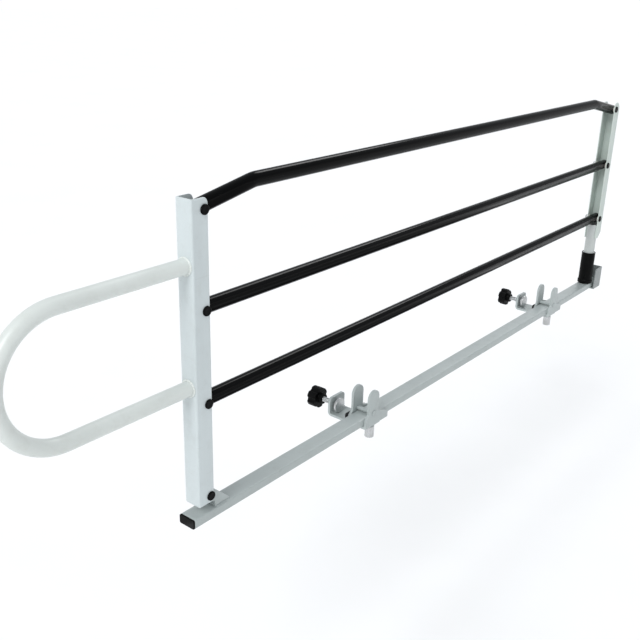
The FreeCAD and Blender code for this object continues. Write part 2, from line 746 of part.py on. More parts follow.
def make_saddle(side, x):
    """A folded plate that hugs the base rail, with two ears that cradle the folded bars."""
    saddle = new_body(side + "_saddle", x)
    ear = "ear_width / 2"
    outline = draw_outline(sketch_on(saddle, "XZ_Plane"), [
        ("-saddle_back", "-" + SADDLE_BASE),
        ("saddle_front", "-" + SADDLE_BASE),
        ("saddle_front", "saddle_shoulder"),
        (ear, "ear_start"),
        (ear, "ear_top"),
        ("-" + ear, "ear_top"),
        ("-" + ear, "ear_start"),
        ("-saddle_back", "saddle_shoulder"),
    ])
    pad(saddle, outline, "2 * " + SADDLE_OUTER, "Symmetric")
    crown = value("ear_top") - 1
    floor = value("-" + SADDLE_BASE) + 1
    shoulder = value("saddle_shoulder")
    round_edges(saddle, "ear_round", ALONG_Y, lambda m: m.z > crown)
    round_edges(saddle, "saddle_bend", ALONG_X, lambda m: m.z < floor)
    round_edges(saddle, "saddle_bend", ALONG_Y, lambda m: abs(m.z - shoulder) < 1)
    inside = draw_rectangle(
        sketch_on(saddle, "YZ_Plane"),
        "-" + SADDLE_INNER, SADDLE_INNER, "-" + SADDLE_FLOOR, "ear_top * 2")
    cut_through(saddle, inside)
    cut_through(saddle, draw_circle(sketch_on(saddle, "XY_Plane"), "thrust_hole", "lock_offset"))
    keeper_hole = draw_circle(sketch_on(saddle, "XZ_Plane"), "keeper_radius", "0", "keeper_height")
    cut_through(saddle, keeper_hole)

    pin = fused([
        rod("keeper_radius", "2 * " + SADDLE_OUTER, "Y", x, RAIL_Y + " - " + SADDLE_OUTER, "keeper_height"),
        rod("keeper_head_radius", "keeper_head", "Y",
            x, RAIL_Y + " - keeper_head - " + SADDLE_OUTER, "keeper_height")])
    keep(pin, side + "_keeper_pin")

    rubber = new_body(side + "_rubber_pad", x, "0")
    face = draw_rectangle(
        sketch_on(rubber, "XZ_Plane"),
        "-rubber_length / 2", "rubber_length / 2", "-rubber_height / 2", "rubber_height / 2")
    pad(rubber, face, "rubber_thickness")
    round_edges(rubber, "rubber_round", ALONG_Y, lambda m: True)


def make_jaw(side, x):
    """An arm under the bed frame whose upright carries the jaw screw and its pressure pad."""
    arm = new_body(side + "_jaw_arm", x + " + arm_shift", "0")
    outer = "-(%s + arm_plate)" % SADDLE_BASE
    inner = "-" + SADDLE_BASE
    side_view = draw_outline(sketch_on(arm, "YZ_Plane"), [
        (RAIL_Y + " - arm_lip", outer),
        ("arm_reach", outer),
        ("arm_reach", "arm_top"),
        ("arm_reach - arm_plate", "arm_top"),
        ("arm_reach - arm_plate", inner),
        (RAIL_Y + " - arm_lip", inner),
    ])
    pad(arm, side_view, "arm_width", "Symmetric")
    reach = value("arm_reach")
    plate = value("arm_plate")
    base = value(outer)
    top = value("arm_top")
    round_edges(arm, "arm_bend", ALONG_X, lambda m: m.y > reach - 1 and m.z < base + 1)
    round_edges(arm, "arm_inner_bend", ALONG_X,
                lambda m: abs(m.y - reach + plate) < 1 and abs(m.z - base - plate) < 1)
    round_edges(arm, "arm_bend", ALONG_Y, lambda m: m.z > top - 1)
    lock_bore = draw_circle(
        sketch_on(arm, "XY_Plane"), "lock_screw_radius + screw_play", "lock_offset - arm_shift", RAIL_Y)
    cut_through(arm, lock_bore)
    jaw_bore = draw_circle(
        sketch_on(arm, "XZ_Plane"), "jaw_screw_radius + screw_play", "-arm_shift", "jaw_height")
    cut_through(arm, jaw_bore)

    shoe = minus(
        fused([
            rod("jaw_pad_radius", "jaw_pad_plate", "Y", x, "jaw_gap", "jaw_height"),
            rod("jaw_pad_boss", "jaw_pad_depth", "Y", x, "jaw_gap", "jaw_height")]),
        rod("jaw_tip_radius + screw_play", "jaw_tip_length + screw_play", "Y",
            x, "jaw_gap + jaw_pad_depth - jaw_tip_length - screw_play", "jaw_height"))
    keep(shoe, side + "_jaw_pad")

    start = "(jaw_gap + jaw_pad_depth + thrust_play)"
    screw = fused([
        rod("jaw_screw_radius", "jaw_screw_length", "Y", x, start, "jaw_height"),
        rod("jaw_tip_radius", "jaw_tip_length", "Y", x, start + " - jaw_tip_length", "jaw_height")])
    keep(screw, side + "_jaw_screw")

    knob = new_body(side + "_jaw_knob", x, start + " + jaw_screw_length", "jaw_height")
    grip = draw_circle(sketch_on(knob, "XZ_Plane"), "jaw_knob_radius")
    pad(knob, grip, "jaw_knob_depth", "Symmetric")
    flute_place = "jaw_knob_radius + jaw_knob_flute / 2"
    flute = draw_circle(sketch_on(knob, "XZ_Plane"), "jaw_knob_flute", flute_place)
    scallop = cut_through(knob, flute)
    repeat_round(knob, scallop, "Y_Axis", 6)
    hub = draw_circle(sketch_on(knob, "XZ_Plane"), "jaw_knob_hub")
    pad(knob, hub, "jaw_knob_neck + jaw_knob_depth / 2")
    # The knob's blind bore takes the end of the screw.
    bore = sketch_on(knob, "XZ_Plane")
    draw_circle(bore, "jaw_screw_radius")
    blind = knob.newObject("PartDesign::Pocket", "Bore")
    blind.Profile = bore
    blind.Reversed = True
    bind(blind, "Length", "jaw_knob_neck + jaw_knob_depth")
    doc.recompute()


def repeat_round(body, feature, axis_role, count):
    pattern = body.newObject("PartDesign::PolarPattern", "Repeat")
    axis = next(item for item in body.Origin.OriginFeatures if item.Role == axis_role)
    pattern.Originals = [feature]
    pattern.Axis = (axis, [""])
    pattern.Angle = 360
    pattern.Occurrences = count
    body.Tip = pattern
    doc.recompute()
    return pattern


def make_lock(side, x):
    """The screw under the saddle that presses a thrust pad against the rail."""
    top = "(-rail_height / 2 - thrust_play)"
    low = "(%s - thrust_thickness)" % top
    thrust = minus(
        rod("thrust_radius", "thrust_thickness", "Z", x, RAIL_Y, low),
        rod("lock_tip_radius + screw_play", "lock_tip_length + screw_play", "Z", x, RAIL_Y, low))
    keep(thrust, side + "_lock_pad")

    shank_foot = low + " - lock_screw_length - thrust_play"
    screw = fused([
        rod("lock_screw_radius", "lock_screw_length", "Z", x, RAIL_Y, shank_foot),
        rod("lock_tip_radius", "lock_tip_length", "Z", x, RAIL_Y, low + " - thrust_play")])
    keep(screw, side + "_lock_screw")

    knob = new_body(side + "_lock_knob", x, RAIL_Y, low + " - lock_knob_start - lock_knob_height")
    pad(knob, draw_circle(sketch_on(knob, "XY_Plane"), "lock_knob_radius"), "lock_knob_height")
    notch_place = "lock_knob_radius + lock_knob_flute / 2"
    notch = draw_circle(sketch_on(knob, "XY_Plane"), "lock_knob_flute", notch_place)
    repeat_round(knob, cut_through(knob, notch), "Z_Axis", 12)
    bore = sketch_on(knob, "XY_Plane", "lock_knob_height")
    draw_circle(bore, "lock_screw_radius")
    blind = knob.newObject("PartDesign::Pocket", "Bore")
    blind.Profile = bore
    bind(blind, "Length", "lock_screw_length - lock_knob_start + thrust_play")
    doc.recompute()


# ---------------------------------------------------------------- the whole rail

make_base_rail()
make_near_hinge_bracket()
make_far_hinge_tongue()
make_far_end_bracket()
make_near_post()
make_grab_handle()
make_far_post()
make_far_post_tube()
make_lock_sleeve()
for bar_label in ("middle_bar", "lower_bar"):
    make_straight_bar(bar_label)
make_top_bar()
for bar_label in BAR_HEIGHTS:
    make_bar_inserts(bar_label)
make_pin_hardware("near", "near_pin", ["0", *BAR_HEIGHTS.values()])
make_pin_hardware("far", FAR_PIN, list(BAR_HEIGHTS.values()))
for clamp, clamp_x in CLAMPS.items():
    make_saddle(clamp, clamp_x)
    make_jaw(clamp, clamp_x)
    make_lock(clamp, clamp_x + " + lock_offset")

doc.recompute()
for item in doc.Objects:
    if "Invalid" in item.State or "Error" in item.State:
        raise RuntimeError(item.Label + " failed: " + ", ".join(item.State))
for node in NODES:
    if node.Shape.isNull() or not node.Shape.isValid() or not node.Shape.Solids:
        raise RuntimeError(node.Label + " has no valid solid")

os.makedirs("parts", exist_ok=True)
for node in NODES:
    node.Shape.exportStep("parts/%s.step" % node.Label)
    box = node.Shape.BoundBox
    print("%-22s %2d solid(s)  x %8.1f %8.1f  y %7.1f %7.1f  z %7.1f %7.1f  volume %10.0f" % (
        node.Label, len(node.Shape.Solids), box.XMin, box.XMax, box.YMin, box.YMax,
        box.ZMin, box.ZMax, node.Shape.Volume))
print(len(NODES), "nodes")
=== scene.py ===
import json
import math
import bmesh
import bpy
from mathutils import Matrix, Vector


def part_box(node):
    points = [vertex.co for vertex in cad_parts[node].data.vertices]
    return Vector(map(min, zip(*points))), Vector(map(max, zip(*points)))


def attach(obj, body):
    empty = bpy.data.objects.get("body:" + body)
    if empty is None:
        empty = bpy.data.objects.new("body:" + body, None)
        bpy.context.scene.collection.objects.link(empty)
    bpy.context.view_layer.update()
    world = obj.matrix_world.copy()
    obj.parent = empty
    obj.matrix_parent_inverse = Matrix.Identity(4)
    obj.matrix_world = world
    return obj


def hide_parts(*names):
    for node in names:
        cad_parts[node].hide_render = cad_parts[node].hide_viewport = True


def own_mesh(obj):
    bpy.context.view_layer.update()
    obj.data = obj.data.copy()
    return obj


# A folding bed side rail with a grab handle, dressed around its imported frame, in metres.
# +X runs along the bed from the handle end, +Y points into the bed and +Z is up.

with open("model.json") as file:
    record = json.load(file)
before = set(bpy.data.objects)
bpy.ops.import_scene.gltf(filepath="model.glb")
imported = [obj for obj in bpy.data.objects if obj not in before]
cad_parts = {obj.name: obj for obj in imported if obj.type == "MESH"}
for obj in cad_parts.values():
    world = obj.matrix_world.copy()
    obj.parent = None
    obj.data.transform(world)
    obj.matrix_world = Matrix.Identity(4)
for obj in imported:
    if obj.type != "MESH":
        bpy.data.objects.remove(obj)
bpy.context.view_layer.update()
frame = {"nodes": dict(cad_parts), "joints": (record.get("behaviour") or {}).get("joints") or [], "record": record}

MM = 0.001
NODES = frame["nodes"]
BODY_OF = {node: body for body, nodes in frame["record"]["behaviour"]["bodies"].items() for node in nodes}
SLOT_OF = {row["node"]: row["material_slot"] for row in frame["record"]["subparts"]}
JOINTS = {joint["name"]: joint for joint in frame["joints"]}


# ---------------------------------------------------------------- places read from the frame

def middle(node):
    low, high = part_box(node)
    return (low + high) / 2


def size(node):
    low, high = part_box(node)
    return high - low


NEAR_PIVOT = Vector(JOINTS["rail_fold"]["pos_m"])
FAR_PIVOT = Vector(JOINTS["far_post_fold"]["pos_m"])
BARS = ("top_bar", "middle_bar", "lower_bar")
BAR_PINS = {bar: Vector(JOINTS[bar + "_turn"]["pos_m"]) for bar in BARS}
PIN_SPAN = FAR_PIVOT.x - NEAR_PIVOT.x
RAIL_LOW, RAIL_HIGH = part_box("base_rail")
RAIL_Y = NEAR_PIVOT.y
BAR_RADIUS = size("lower_bar").z / 2
HANDLE_RADIUS = size("grab_handle").y / 2

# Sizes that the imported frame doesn't give.
BAR_WALL = 1.5 * MM
BAR_HOLE_RADIUS = 4.9 * MM
TOP_BAR_RUN = 0.107
TOP_BAR_BEND = 0.06
HANDLE_WALL = 2 * MM
RAIL_WALL = 2 * MM
RAIL_CORNER = 2.5 * MM
JAW_PITCH = 1.5 * MM
LOCK_PITCH = 1.25 * MM
SPRING_WIRE_RADIUS = 0.75 * MM
SPRING_PITCH = 6.5 * MM


# ---------------------------------------------------------------- materials

def new_material(name):
    """A node material with its shader and a helper that adds linked nodes."""
    material = bpy.data.materials.new(name)
    material.use_nodes = True
    tree = material.node_tree
    shader = tree.nodes["Principled BSDF"]

    def add(kind, settings=None, links=None):
        node = tree.nodes.new(kind)
        for key, setting in (settings or {}).items():
            if key in node.inputs:
                node.inputs[key].default_value = setting
            else:
                setattr(node, key, setting)
        for key, source in (links or {}).items():
            tree.links.new(source, node.inputs[key])
        return node

    return material, tree, shader, add


def ramp(add, source, stops):
    """A colour ramp over a value: stops are (place, grey or colour)."""
    node = add("ShaderNodeValToRGB", links={"Fac": source})
    elements = node.color_ramp.elements
    while len(elements) > len(stops):
        elements.remove(elements[-1])
    while len(elements) < len(stops):
        elements.new(1.0)
    for element, (place, colour) in zip(elements, stops):
        element.position = place
        if isinstance(colour, (int, float)):
            colour = (colour, colour, colour)
        element.color = (*colour, 1)
    return node.outputs["Color"]


def mixed(add, factor, first, second, blend="MIX"):
    node = add("ShaderNodeMix", {"data_type": "RGBA", "blend_type": blend})
    tree = node.id_data
    for index, source in ((0, factor), (6, first), (7, second)):
        if isinstance(source, bpy.types.NodeSocket):
            tree.links.new(source, node.inputs[index])
        elif index == 0:
            node.inputs[index].default_value = source
        else:
            node.inputs[index].default_value = (*source, 1)
    return node.outputs[2]


def noise(add, coordinates, scale, detail=3.0, roughness=0.5):
    settings = {"Scale": scale, "Detail": detail, "Roughness": roughness}
    return add("ShaderNodeTexNoise", settings, {"Vector": coordinates}).outputs["Fac"]


def edge_wear(add, low, high):
    """1 along convex edges, 0 elsewhere."""
    pointy = add("ShaderNodeNewGeometry").outputs["Pointiness"]
    return ramp(add, pointy, [(low, 0.0), (high, 1.0)])


def bump(add, tree, shader, height, strength, distance):
    node = add("ShaderNodeBump", {"Strength": strength, "Distance": distance}, {"Height": height})
    tree.links.new(node.outputs["Normal"], shader.inputs["Normal"])


def powder_coat(name, colour, dirt, gloss=0.36):
    """Baked powder coat: fine orange peel, faint rubbed patches, dust that dulls it and chipped edges."""
    material, tree, shader, add = new_material(name)
    where = add("ShaderNodeTexCoord").outputs["Object"]
    patches = noise(add, where, 9.0, 5.0, 0.6)
    grime = noise(add, where, 55.0, 6.0, 0.65)
    clean = mixed(add, ramp(add, patches, [(0.35, 0.0), (0.7, 1.0)]), colour,
                  tuple(part * 0.94 for part in colour))
    soiled = mixed(add, ramp(add, grime, [(0.52, 0.0), (0.8, 0.4)]), clean, dirt)
    drawn = add("ShaderNodeMapping", {"Scale": (9.0, 260.0, 260.0)}, {"Vector": where}).outputs["Vector"]
    streaks = ramp(add, noise(add, drawn, 1.0, 2.0), [(0.68, 0.0), (0.76, 0.35)])
    rubbed = mixed(add, streaks, soiled, dirt)
    worn = mixed(add, edge_wear(add, 0.53, 0.62), rubbed, tuple(min(1, part * 1.12) for part in colour))
    tree.links.new(worn, shader.inputs["Base Color"])
    rough = ramp(add, grime, [(0.3, gloss - 0.06), (0.75, gloss + 0.14)])
    tree.links.new(rough, shader.inputs["Roughness"])
    shader.inputs["Coat Weight"].default_value = 0.2
    shader.inputs["Coat Roughness"].default_value = 0.25
    peel = noise(add, where, 950.0, 2.0)
    bump(add, tree, shader, peel, 0.12, 0.0004)
    return material


def gloss_black(name):
    """Glossy black coat on tube: deep, slightly wavy, with hand smears and hair-line scratches."""
    material, tree, shader, add = new_material(name)
    where = add("ShaderNodeTexCoord").outputs["Object"]
    smear = noise(add, where, 14.0, 5.0, 0.6)
    drawn = add("ShaderNodeMapping", {"Scale": (6.0, 900.0, 900.0)}, {"Vector": where}).outputs["Vector"]
    scratch = ramp(add, noise(add, drawn, 1.0, 2.0), [(0.68, 0.0), (0.74, 1.0)])
    body = mixed(add, scratch, (0.0011, 0.0013, 0.0013), (0.006, 0.0065, 0.0065))
    worn = mixed(add, edge_wear(add, 0.56, 0.68), body, (0.035, 0.036, 0.037))
    tree.links.new(worn, shader.inputs["Base Color"])
    rough = ramp(add, smear, [(0.35, 0.11), (0.62, 0.16), (0.8, 0.24)])
    tree.links.new(rough, shader.inputs["Roughness"])
    shader.inputs["Specular IOR Level"].default_value = 0.06
    bump(add, tree, shader, noise(add, where, 420.0, 2.0), 0.05, 0.0004)
    return material


def moulded_plastic(name, colour, gloss=0.42, shine=0.07):
    """Black moulded plastic with a fine spark-eroded grain, dust in it and rubbed edges."""
    material, tree, shader, add = new_material(name)
    where = add("ShaderNodeTexCoord").outputs["Object"]
    dust = noise(add, where, 70.0, 6.0, 0.6)
    grain = noise(add, where, 2600.0, 2.0)
    light = tuple(min(1, part * 1.5 + 0.003) for part in colour)
    body = mixed(add, ramp(add, dust, [(0.45, 0.0), (0.8, 0.7)]), colour, light)
    worn = mixed(add, edge_wear(add, 0.54, 0.66), body, tuple(min(1, part * 2 + 0.012) for part in colour))
    tree.links.new(worn, shader.inputs["Base Color"])
    tree.links.new(ramp(add, dust, [(0.3, gloss - 0.08), (0.75, gloss + 0.12)]), shader.inputs["Roughness"])
    shader.inputs["Specular IOR Level"].default_value = shine
    bump(add, tree, shader, grain, 0.16, 0.0002)
    return material


def plated_metal(name, colour, tint):
    """Plated or bare metal: fine turning marks, cloudy plating and darker pits."""
    material, tree, shader, add = new_material(name)
    where = add("ShaderNodeTexCoord").outputs["Object"]
    cloud = noise(add, where, 60.0, 4.0, 0.6)
    marks = noise(add, where, 900.0, 3.0, 0.6)
    body = mixed(add, ramp(add, cloud, [(0.38, 0.0), (0.68, 1.0)]), colour, tint)
    pits = ramp(add, marks, [(0.25, 0.55), (0.45, 1.0)])
    tree.links.new(mixed(add, 0.8, body, pits, "MULTIPLY"), shader.inputs["Base Color"])
    shader.inputs["Metallic"].default_value = 1.0
    tree.links.new(ramp(add, marks, [(0.3, 0.44), (0.7, 0.24)]), shader.inputs["Roughness"])
    bump(add, tree, shader, marks, 0.1, 0.0002)
    return material


def rubber_like(name, colour):
    """Matt rubber with a pebbled grain and pale bloom."""
    material, tree, shader, add = new_material(name)
    where = add("ShaderNodeTexCoord").outputs["Object"]
    bloom = noise(add, where, 120.0, 5.0, 0.6)
    cells = add("ShaderNodeTexVoronoi", {"Scale": 700.0}, {"Vector": where}).outputs["Distance"]
    body = mixed(add, ramp(add, bloom, [(0.4, 0.0), (0.8, 0.8)]), colour,
                 tuple(part * 2.2 + 0.02 for part in colour))
    tree.links.new(body, shader.inputs["Base Color"])
    tree.links.new(ramp(add, bloom, [(0.3, 0.68), (0.8, 0.88)]), shader.inputs["Roughness"])
    bump(add, tree, shader, cells, 0.3, 0.0003)
    return material


MATERIALS = {
    "light_powder_coat": powder_coat("light_coat", (0.575, 0.635, 0.645), (0.46, 0.49, 0.48)),
    "grey_powder_coat": powder_coat("grey_coat", (0.40, 0.445, 0.44), (0.30, 0.32, 0.31)),
    "light_tube": powder_coat("tube_coat", (0.47, 0.50, 0.49), (0.36, 0.37, 0.36), 0.3),
    "gloss_black": gloss_black("black_coat"),
    "black_plastic": moulded_plastic("black_plastic", (0.0018, 0.0019, 0.002)),
    "nylon": moulded_plastic("nylon", (0.62, 0.61, 0.56), 0.5, 0.5),
    "rubber": rubber_like("rubber", (0.014, 0.014, 0.015)),
    "zinc": plated_metal("zinc", (0.62, 0.63, 0.64), (0.48, 0.49, 0.48)),
    "brass_pad": plated_metal("brass", (0.72, 0.55, 0.26), (0.55, 0.41, 0.2)),
    "spring_steel": plated_metal("spring_steel", (0.42, 0.42, 0.43), (0.3, 0.3, 0.3)),
}
# Lit and shaded copies of the coats: the handle's coat is lightened as painted light, and the far post's and end
# bracket's coats are darkened as painted shade.
HANDLE_LIT_COAT = powder_coat("handle_lit_coat", (0.66, 0.70, 0.675), (0.53, 0.55, 0.51))
SHOE_SHADED_COAT = powder_coat("shoe_shaded_coat", (0.22, 0.245, 0.245), (0.17, 0.18, 0.175))
FAR_SHADED_COAT = powder_coat("far_shaded_coat", (0.53, 0.60, 0.56), (0.41, 0.45, 0.41))


# ---------------------------------------------------------------- pieces

def finish_piece(name, made, body, slot, smooth_angle=35.0, stands_for=()):
    """Turn a bmesh into an object that rides on a body and takes a slot's material."""
    bmesh.ops.recalc_face_normals(made, faces=made.faces)
    mesh = bpy.data.meshes.new(name)
    made.to_mesh(mesh)
    made.free()
    piece = bpy.data.objects.new(name, mesh)
    bpy.context.scene.collection.objects.link(piece)
    mesh.materials.append(MATERIALS[slot])
    smooth(piece, smooth_angle)
    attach(piece, body)
    if stands_for:
        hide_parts(*stands_for)
    return piece


def smooth(piece, angle):
    """Smooth shading, kept sharp at edges steeper than the angle."""
    mesh = piece.data
    for face in mesh.polygons:
        face.use_smooth = True
    made = bmesh.new()
    made.from_mesh(mesh)
    limit = math.radians(angle)
    sharp = [len(edge.link_faces) == 2 and edge.calc_face_angle(0.0) > limit for edge in made.edges]
    made.free()
    attribute = mesh.attributes.new("sharp_edge", "BOOLEAN", "EDGE")
    attribute.data.foreach_set("value", sharp)


def stand_in(node, made, smooth_angle=35.0):
    """A finer piece in place of one CAD node, on the same body, with the same finish."""
    return finish_piece(node + "_fine", made, BODY_OF[node], SLOT_OF[node], smooth_angle, (node,))


def ring_points(centre, side, up, radius, count):
    return [centre + (side * math.cos(turn) + up * math.sin(turn)) * radius
            for turn in (2 * math.pi * index / count for index in range(count))]


def join_rings(made, first, second):
    count = len(first)
    for index in range(count):
        follower = (index + 1) % count
        made.faces.new((first[index], first[follower], second[follower], second[index]))


def tube_along(path, outer, inner, across, count, edge=0.0006):
    """A round tube along a flat path; across is the direction at right angles to the path's plane."""
    made = bmesh.new()
    loops = []
    for skin, trim in ((outer, edge), (inner, -edge)):
        rings = []
        for index, point in enumerate(path):
            before = path[max(index - 1, 0)]
            after = path[min(index + 1, len(path) - 1)]
            run = (after - before).normalized()
            up = across.cross(run).normalized()
            if index == 0 and trim > 0:
                rings.append([made.verts.new(p) for p in ring_points(point, across, up, skin - trim, count)])
                point = point + run * trim
            if index == len(path) - 1 and trim > 0:
                before_edge = ring_points(point - run * trim, across, up, skin, count)
                rings.append([made.verts.new(p) for p in before_edge])
                skin_end = skin - trim
                rings.append([made.verts.new(p) for p in ring_points(point, across, up, skin_end, count)])
                continue
            rings.append([made.verts.new(p) for p in ring_points(point, across, up, skin, count)])
        for first, second in zip(rings, rings[1:]):
            join_rings(made, first, second)
        loops.append(rings)
    for end in (0, -1):
        join_rings(made, loops[0][end], loops[1][end])
    return made


def lathe(profile, base, axis, count):
    """A closed profile of (radius, height) points turned about an axis through base."""
    axis = axis.normalized()
    side = axis.orthogonal().normalized()
    up = axis.cross(side)
    made = bmesh.new()
    rings = []
    for radius, height in profile:
        centre = base + axis * height
        if radius < 1e-7:
            rings.append([made.verts.new(centre)])
        else:
            rings.append([made.verts.new(p) for p in ring_points(centre, side, up, radius, count)])
    for first, second in zip(rings, rings[1:]):
        if len(first) == 1 or len(second) == 1:
            tip, ring = (first[0], second) if len(first) == 1 else (second[0], first)
            for index in range(count):
                if len(ring) > 1:
                    made.faces.new((tip, ring[index], ring[(index + 1) % count]))
        else:
            join_rings(made, first, second)
    return made


def arc(centre, radius, start, end, steps):
    """Points of an arc as (x, z) pairs, its angles in degrees."""
    turns = [math.radians(start + (end - start) * step / steps) for step in range(steps + 1)]
    return [(centre[0] + radius * math.cos(turn), centre[1] + radius * math.sin(turn)) for turn in turns]


def refined(node, edge):
    """A copy of a CAD node with its sharp edges broken by a small bevel, in millimetres."""
    made = bmesh.new()
    made.from_mesh(NODES[node].data)
    made.transform(NODES[node].matrix_world)
    bmesh.ops.remove_doubles(made, verts=made.verts, dist=1e-6)
    bmesh.ops.dissolve_limit(made, angle_limit=math.radians(0.5), verts=made.verts, edges=made.edges)
    limit = math.radians(40)
    sharp = [side for side in made.edges if side.is_manifold and side.calc_face_angle() > limit]
    bmesh.ops.bevel(made, geom=sharp, offset=edge * MM, offset_type="OFFSET", segments=2,
                    profile=0.5, affect="EDGES", clamp_overlap=False)
    bmesh.ops.remove_doubles(made, verts=made.verts, dist=1e-6)
    piece = stand_in(node, made)
    flat = piece.modifiers.new("flat_faces", "WEIGHTED_NORMAL")
    flat.keep_sharp = True
    flat.weight = 100
    return piece


# ---------------------------------------------------------------- bars and handle

def bored(piece, places, radius, length):
    """Cut round holes along Y through a piece at the given places."""
    for place in places:
        cutter = bpy.data.meshes.new("cutter")
        made = lathe([(0, -length / 2), (radius, -length / 2), (radius, length / 2), (0, length / 2)],
                     place, Vector((0, 1, 0)), 40)
        bmesh.ops.recalc_face_normals(made, faces=made.faces)
        made.to_mesh(cutter)
        made.free()
        tool = bpy.data.objects.new("cutter", cutter)
        bpy.context.scene.collection.objects.link(tool)
        cut = piece.modifiers.new("bore", "BOOLEAN")
        cut.operation = "DIFFERENCE"
        cut.solver = "EXACT"
        cut.object = tool
        graph = bpy.context.evaluated_depsgraph_get()
        result = bpy.data.meshes.new_from_object(piece.evaluated_get(graph))
        piece.modifiers.clear()
        piece.data = result
        bpy.data.objects.remove(tool)


def along(points, step):
    """The same path with its long straight runs divided."""
    path = [points[0]]
    for first, second in zip(points, points[1:]):
        parts = max(1, int((second - first).length / step))
        path += [first.lerp(second, index / parts) for index in range(1, parts + 1)]
    return path


def make_bars():
    past = BAR_PINS["lower_bar"].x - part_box("lower_bar")[0].x
    for bar in BARS:
        low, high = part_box(bar)
        pin = BAR_PINS[bar]
        if bar == "top_bar":
            rise = high.z - BAR_RADIUS - pin.z
            run = TOP_BAR_RUN
            bend = TOP_BAR_BEND
            slope = math.atan2(rise, run)
            out = Vector((math.cos(slope), 0, math.sin(slope))) * -past
            corner = (pin.x + run, pin.z + rise)
            reach = bend * math.tan(slope / 2)
            centre = (corner[0] + reach, corner[1] - bend)
            first = [Vector((x, pin.y, z)) for x, z in arc(centre, bend, 90 + math.degrees(slope), 90, 8)]
            half = [pin + out] + first
            mid = pin.x + PIN_SPAN / 2
            other = [Vector((2 * mid - p.x, p.y, p.z)) for p in reversed(half)]
            path = half + other
        else:
            path = [Vector((low.x, pin.y, pin.z)), Vector((high.x, pin.y, pin.z))]
        made = tube_along(path, BAR_RADIUS, BAR_RADIUS - BAR_WALL, Vector((0, 1, 0)), 56)
        piece = stand_in(bar, made)
        bored(piece, [pin, pin + Vector((PIN_SPAN, 0, 0))], BAR_HOLE_RADIUS, 0.05)
        smooth(piece, 35)


def make_handle():
    low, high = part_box("grab_handle")
    radius = HANDLE_RADIUS
    upper = high.z - radius
    lower = low.z + radius
    bend = (upper - lower) / 2
    centre = (low.x + radius + bend, (upper + lower) / 2)
    turn = arc(centre, bend, 90, 270, 40)
    path = [Vector((high.x, RAIL_Y, upper))]
    path += [Vector((x, RAIL_Y, z)) for x, z in turn]
    path += [Vector((high.x, RAIL_Y, lower))]
    stand_in("grab_handle", tube_along(path, radius, radius - HANDLE_WALL, Vector((0, 1, 0)), 56))


def rounded_rectangle(half_width, half_height, corner, steps=6):
    """Points round a rectangle in the YZ plane, counter-clockwise, about its own centre."""
    points = []
    for turn, (side, top) in enumerate(((1, 1), (-1, 1), (-1, -1), (1, -1))):
        centre = (side * (half_width - corner), top * (half_height - corner))
        points += arc(centre, corner, 90 * turn, 90 * turn + 90, steps)
    return points


def make_rail():
    """The base rail: a rectangular tube with drawn corners, broken edges at its far end and a real wall."""
    wall = RAIL_WALL
    corner = RAIL_CORNER
    edge = 0.4 * MM
    half_width = (RAIL_HIGH.y - RAIL_LOW.y) / 2
    half_height = (RAIL_HIGH.z - RAIL_LOW.z) / 2
    mid_z = (RAIL_HIGH.z + RAIL_LOW.z) / 2
    made = bmesh.new()

    def ring(x, inset, radius):
        points = rounded_rectangle(half_width - inset, half_height - inset, radius)
        return [made.verts.new((x, RAIL_Y + y, mid_z + z)) for y, z in points]

    outside = [ring(RAIL_LOW.x, edge, corner - edge), ring(RAIL_LOW.x + edge, 0, corner)]
    length = RAIL_HIGH.x - RAIL_LOW.x
    pieces = 40
    for index in range(1, pieces):
        outside.append(ring(RAIL_LOW.x + length * index / pieces, 0, corner))
    outside += [ring(RAIL_HIGH.x - edge, 0, corner), ring(RAIL_HIGH.x, edge, corner - edge)]
    inside = [ring(x, wall, corner - wall + edge) for x in (RAIL_LOW.x, RAIL_HIGH.x)]
    for rings in (outside, inside):
        for first, second in zip(rings, rings[1:]):
            join_rings(made, first, second)
    join_rings(made, outside[0], inside[0])
    join_rings(made, outside[-1], inside[-1])
    stand_in("base_rail", made)


def threaded(node, radius, pitch, axis, start, end, tip_radius, tip_end):
    """A screw with a real helical thread between start and end along axis, and a plain tip at its start."""
    depth = 0.6 * pitch
    steps = 8
    around = 32
    ends = 0.7 * pitch
    centre = middle(node)
    run = end - start
    count = round(abs(run) / pitch * steps)
    along_y = axis.y != 0
    side = Vector((1, 0, 0))
    up = axis.cross(side)
    made = bmesh.new()

    def place(distance, turn, reach):
        base = Vector((centre.x, distance if along_y else centre.y, centre.z if along_y else distance))
        return made.verts.new(base + (side * math.cos(turn) + up * math.sin(turn)) * reach)

    rings = [[place(tip_end, 2 * math.pi * k / around, tip_radius - 0.3 * MM) for k in range(around)],
             [place(tip_end + (start - tip_end) * 0.2, 2 * math.pi * k / around, tip_radius)
              for k in range(around)],
             [place(start, 2 * math.pi * k / around, tip_radius) for k in range(around)]]
    for index in range(count + 1):
        distance = start + run * index / count
        ring = []
        for k in range(around):
            phase = (index / steps + k / around) % 1
            groove = max(0.0, min(1.0, 1.35 - abs(phase - 0.5) * 2.7))
            nearest = min(abs(distance - start), abs(end - distance))
            chamfer = max(0.0, 1 - nearest / ends)
            reach = radius - depth * max(groove, chamfer)
            ring.append(place(distance, 2 * math.pi * k / around, reach))
        rings.append(ring)
    for first, second in zip(rings, rings[1:]):
        join_rings(made, first, second)
    made.faces.new(rings[0])
    made.faces.new(rings[-1])
    return stand_in(node, made, 50)


